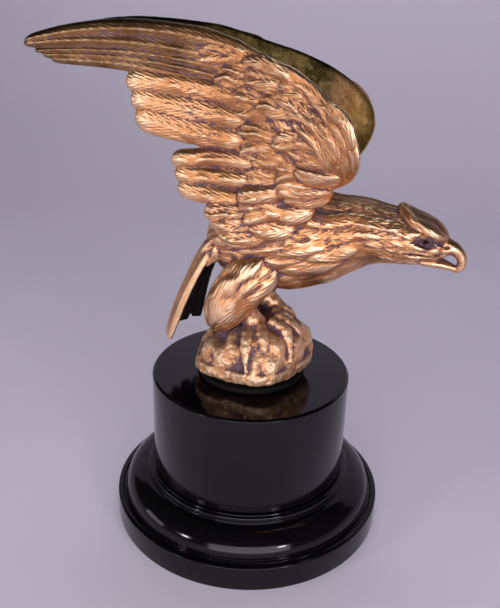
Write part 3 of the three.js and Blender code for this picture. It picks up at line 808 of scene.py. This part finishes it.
# Painted shade: the more rays meet the skin close by, the darker the place is painted.
hidden = np.zeros(len(spots))
rays = [Vector((chance.gauss(0, 1), chance.gauss(0, 1), chance.gauss(0, 1))).normalized()
        for _ in range(SHADE_RAYS)]
for i, (spot, up) in enumerate(zip(spots.tolist(), outward.tolist())):
    up = Vector(up)
    start = Vector(spot) + up * 0.25
    for ray in rays:
        distance = tree.ray_cast(start, (ray + up * SHADE_LEAN).normalized(), SHADE_REACH)[3]
        if distance is not None:
            hidden[i] += 1 - distance / SHADE_REACH
hidden = spread_out(hidden[:, None] / len(rays), edges, 3)[:, 0]
eye, socket, nostril, mouth = face_marks(spots)
# More painted shade inside the tail's hollow, in the eye sockets, the nostrils and the line of the mouth.
hidden += 0.9 * (kind == HOLLOW) + 0.45 * socket + 0.4 * nostril + 0.4 * mouth
# Olive painted shade and dark reflection: inside the wings, on the long flight feathers towards the tip, and
# on faces that look up.
inner = ((kind == SMOOTH) & (spots[:, 0] < 45) & (spots[:, 2] > 130)) * 1.0
# Lighter gold painted at the wings' inner front ends, where the painted olive shade gives way.
gilt = inner * np.clip((spots[:, 0] - 22) / 12, 0, 1)
flown = (kind == FLIGHT) * (spots[:, 2] > 150) * np.clip((5 - spots[:, 0]) / 30, 0, 1)
facing_up = np.clip((outward[:, 2] - 0.6) / 0.3, 0, 1)
dusk = np.clip(inner - gilt + 0.7 * flown + 0.68 * facing_up, 0, 1)
dusk, gilt = spread_out(np.stack([dusk, gilt], 1), edges, 4).T
barbed = sum(strength * (kind == which) for which, strength in BARBS.items())
rocky = spread_out(np.isin(kind, (CRAG, TOE))[:, None] * 1.0, edges, 2)[:, 0]
moved(skin, spots * MM)
PATINA_AND_PAINTED_LIGHT = {"groove": -fine, "swell": broad, "hidden": hidden, "dusk": dusk, "gilt": gilt, "rocky": rocky}
for name, values in PATINA_AND_PAINTED_LIGHT.items():
    skin.attributes.new(name, "FLOAT", "POINT").data.foreach_set("value", values.astype(np.float32))
vane = skin.attributes.new("vane", "FLOAT_VECTOR", "POINT")
vane.data.foreach_set("vector", lines(where[:, 0], where[:, 1], barbed).astype(np.float32).ravel())
smoothed(skin)
skin.name = "eagle"
eagle = set_up("eagle", skin)

made, start, place, feed = material("bronze with wear and painted light")
groove, swell, painted_shade, dusk, gilt, rocky = (start.attribute(name) for name in PATINA_AND_PAINTED_LIGHT)
vane = start.attribute("vane", "Vector")
run, across, barbed = (start.node("ShaderNodeSeparateXYZ", {0: vane}, out=i) for i in range(3))
blotch = place.noise(70, 4, 0.6)
grain = place.noise(1500, 4, 0.65)
fleck = place.noise(420, 4, 0.6)
strand = (0.5 * (across * 5 + blotch * 5 + fleck * 4).wave()
          + ((abs(across) - 0.3 * run) * 6 + blotch * 6 + fleck * 5).wave()) * blotch.step(0.3, 0.6)
# Purple brown patina in the grooves and fine strokes, made darker still by painted shade where places are
# closed in.
dark = (6.2 * groove + 2.0 * painted_shade - 0.55 * barbed * strand + 1.4 * (fleck - 0.5) + 3.8 * (grain - 0.5)
        + 1.1 * (blotch - 0.5) - (0.35 + 0.85 * rocky) * swell).step(0.12, 1.15)
# Rubbed bright where it stands proud; this mask also paints highlights on the raised forms.
bright = (-5.0 * groove + 0.2 * swell + 0.8 * (fleck - 0.5) + (grain - 0.5)).step(0.12, 0.8)
hammered = place.cells(520).step(0.1, 0.75)
scratch = place.stretched(1, 0.3, 0.12).noise(900, 3, 0.7).step(0.6, 0.75)
mottle = (blotch + 0.9 * (fleck - 0.5)).step(0.35, 0.7)
copper = (bright * 0.62 + rocky * 0.1).mix(blotch.step(0.3, 0.7).mix(COPPER, BRIGHT_COPPER), WORN_BRIGHT_AND_HIGHLIGHT)
# Olive painted shade and reflection over the copper, and painted gold at the wings' inner front ends.
worn_copper_and_painted_olive = dusk.mix(gilt.mix(copper, mottle.mix(OLD_GOLD, BRIGHT_GOLD)), mottle.mix(SHADE_OLIVE, PALE_SHADE_OLIVE))
relief = barbed * strand * 0.6 + grain * 1.0 + fleck * 0.9 - scratch * 0.2 - rocky * hammered * 2.2
# The base colour goes to near black painted shade in the most closed-in places.
feed(
    Base_Color=painted_shade.step(0.6, 0.95).mix(dark.mix(worn_copper_and_painted_olive, fleck.mix(PURPLE, PALE_PURPLE)), PAINTED_SHADE_BLACK),
    Metallic=(1.0 - 0.4 * dark - 0.3 * rocky).held(),
    Roughness=(0.3 + 0.14 * rocky + 0.1 * blotch + 0.08 * grain + 0.2 * dark - 0.08 * bright).held(),
    Normal=relief.bump(0.85, 0.00012),
)
skin.materials.clear()
skin.materials.append(made)
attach(eagle, "root")
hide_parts("eagle_casting")

# Stage. A plain pale sweep, two small lamps for the highlights, three broader soft ones, and a dim surround.
# The camera stands about 0.3 m off, above the eagle's right side, and looks down on it.
SWEEP_HALF_WIDTH, SWEEP_FRONT, SWEEP_BEND_START, SWEEP_BEND, SWEEP_TOP = 1.3, -0.9, 0.42, 0.25, 0.9
PALE, PALEST, FLOOR_GLOW = (0.78, 0.745, 0.82), (0.84, 0.8, 0.88), (0.12, 0.107, 0.142, 1)
LAMPS = [  # name, place, height that it is aimed at, size, watts, colour
    ("lamp left", (-0.27, -0.34, 0.17), 0.08, (0.042, 0.024), 0.23, (1.0, 0.95, 0.97)),
    ("lamp right", (0.3, -0.34, 0.18), 0.08, (0.042, 0.024), 0.21, (1.0, 0.94, 1.0)),
    ("front", (0.15, -0.56, 0.17), 0.09, (0.74, 0.32), 2.15, (1.0, 0.96, 1.08)),
    ("side", (-0.52, -0.19, 0.14), 0.09, (0.2, 0.12), 0.16, (1.0, 0.95, 1.0)),
    ("top", (0.0, 0.19, 0.62), 0.09, (0.3, 0.2), 0.5, (0.95, 0.95, 1.1)),
]
SURROUND = [(0.04, (0.55, 0.52, 0.6)), (0.2, (0.06, 0.056, 0.05)), (0.45, (0.03, 0.03, 0.02)),
            (0.7, (0.03, 0.03, 0.015))]
CAMERA_PLACE, CAMERA_LENS = Vector((0.05536, -0.26046, 0.2115)), 44.41
CAMERA_RIGHT = Vector((0.97439274, 0.22328864, 0.02647587))
CAMERA_UP = Vector((-0.11467453, 0.39219805, 0.91270501))

sweep = bmesh.new()
profile = [(SWEEP_FRONT, 0)]
for turn in np.linspace(0, 1.45, 14):
    profile.append((SWEEP_BEND_START + SWEEP_BEND * math.sin(turn), SWEEP_BEND - SWEEP_BEND * math.cos(turn)))
profile.append((profile[-1][0] + 0.06, SWEEP_TOP))
row = [sweep.verts.new((-SWEEP_HALF_WIDTH, y, z)) for y, z in profile]
runs = [sweep.edges.new(pair) for pair in zip(row, row[1:])]
drawn = bmesh.ops.extrude_edge_only(sweep, edges=runs)["geom"]
far_row = [item for item in drawn if isinstance(item, bmesh.types.BMVert)]
bmesh.ops.translate(sweep, vec=(2 * SWEEP_HALF_WIDTH, 0, 0), verts=far_row)
floor = finished("floor", sweep, 60)
made, _, place, feed = material("pale floor", Metallic=0.0, Roughness=0.9, Emission_Strength=1.0)
feed(Base_Color=place.noise(6, 3).mix(PALE, PALEST), Emission_Color=FLOOR_GLOW)
floor.data.materials.append(made)

for name, spot, height, (wide, high), watts, colour in LAMPS:
    light = bpy.data.lights.new(name, "AREA")
    light.shape, light.size, light.size_y = "RECTANGLE", wide, high
    light.energy, light.color = watts, colour
    holder = set_up(name, light)
    holder.location = spot
    holder.rotation_euler = (Vector((0, 0, height)) - Vector(spot)).to_track_quat("-Z", "Y").to_euler()

world = bpy.data.worlds.new("dim surround")
world.use_nodes = True
start = Shade(world.node_tree)
aim = start.node("ShaderNodeTexCoord", out="Generated")
side, height = (start.node("ShaderNodeSeparateXYZ", {0: aim}, out=i) for i in (0, 2))
surround = height.node("ShaderNodeValToRGB", {0: height}, stops=SURROUND)
dimmed = side.step(-0.6, 0.7).mix((0.8, 0.8, 0.8), (0.55, 0.55, 0.55))
ambient = start.node("ShaderNodeMix", {0: 1.0, 6: surround, 7: dimmed}, out=2, data_type="RGBA",
                     blend_type="MULTIPLY")
world.node_tree.links.new(ambient.socket, world.node_tree.nodes["Background"].inputs[0])
bpy.context.scene.world = world
bpy.context.scene.view_settings.view_transform = "Standard"

lens = bpy.data.cameras.new("camera")
lens.lens, lens.sensor_width, lens.clip_start = CAMERA_LENS, 36, 0.01
camera = set_up("camera", lens)
axes = (CAMERA_RIGHT, CAMERA_UP, CAMERA_RIGHT.cross(CAMERA_UP))
camera.matrix_world = Matrix(axes).transposed().to_4x4()
camera.location = CAMERA_PLACE
bpy.context.scene.camera = camera
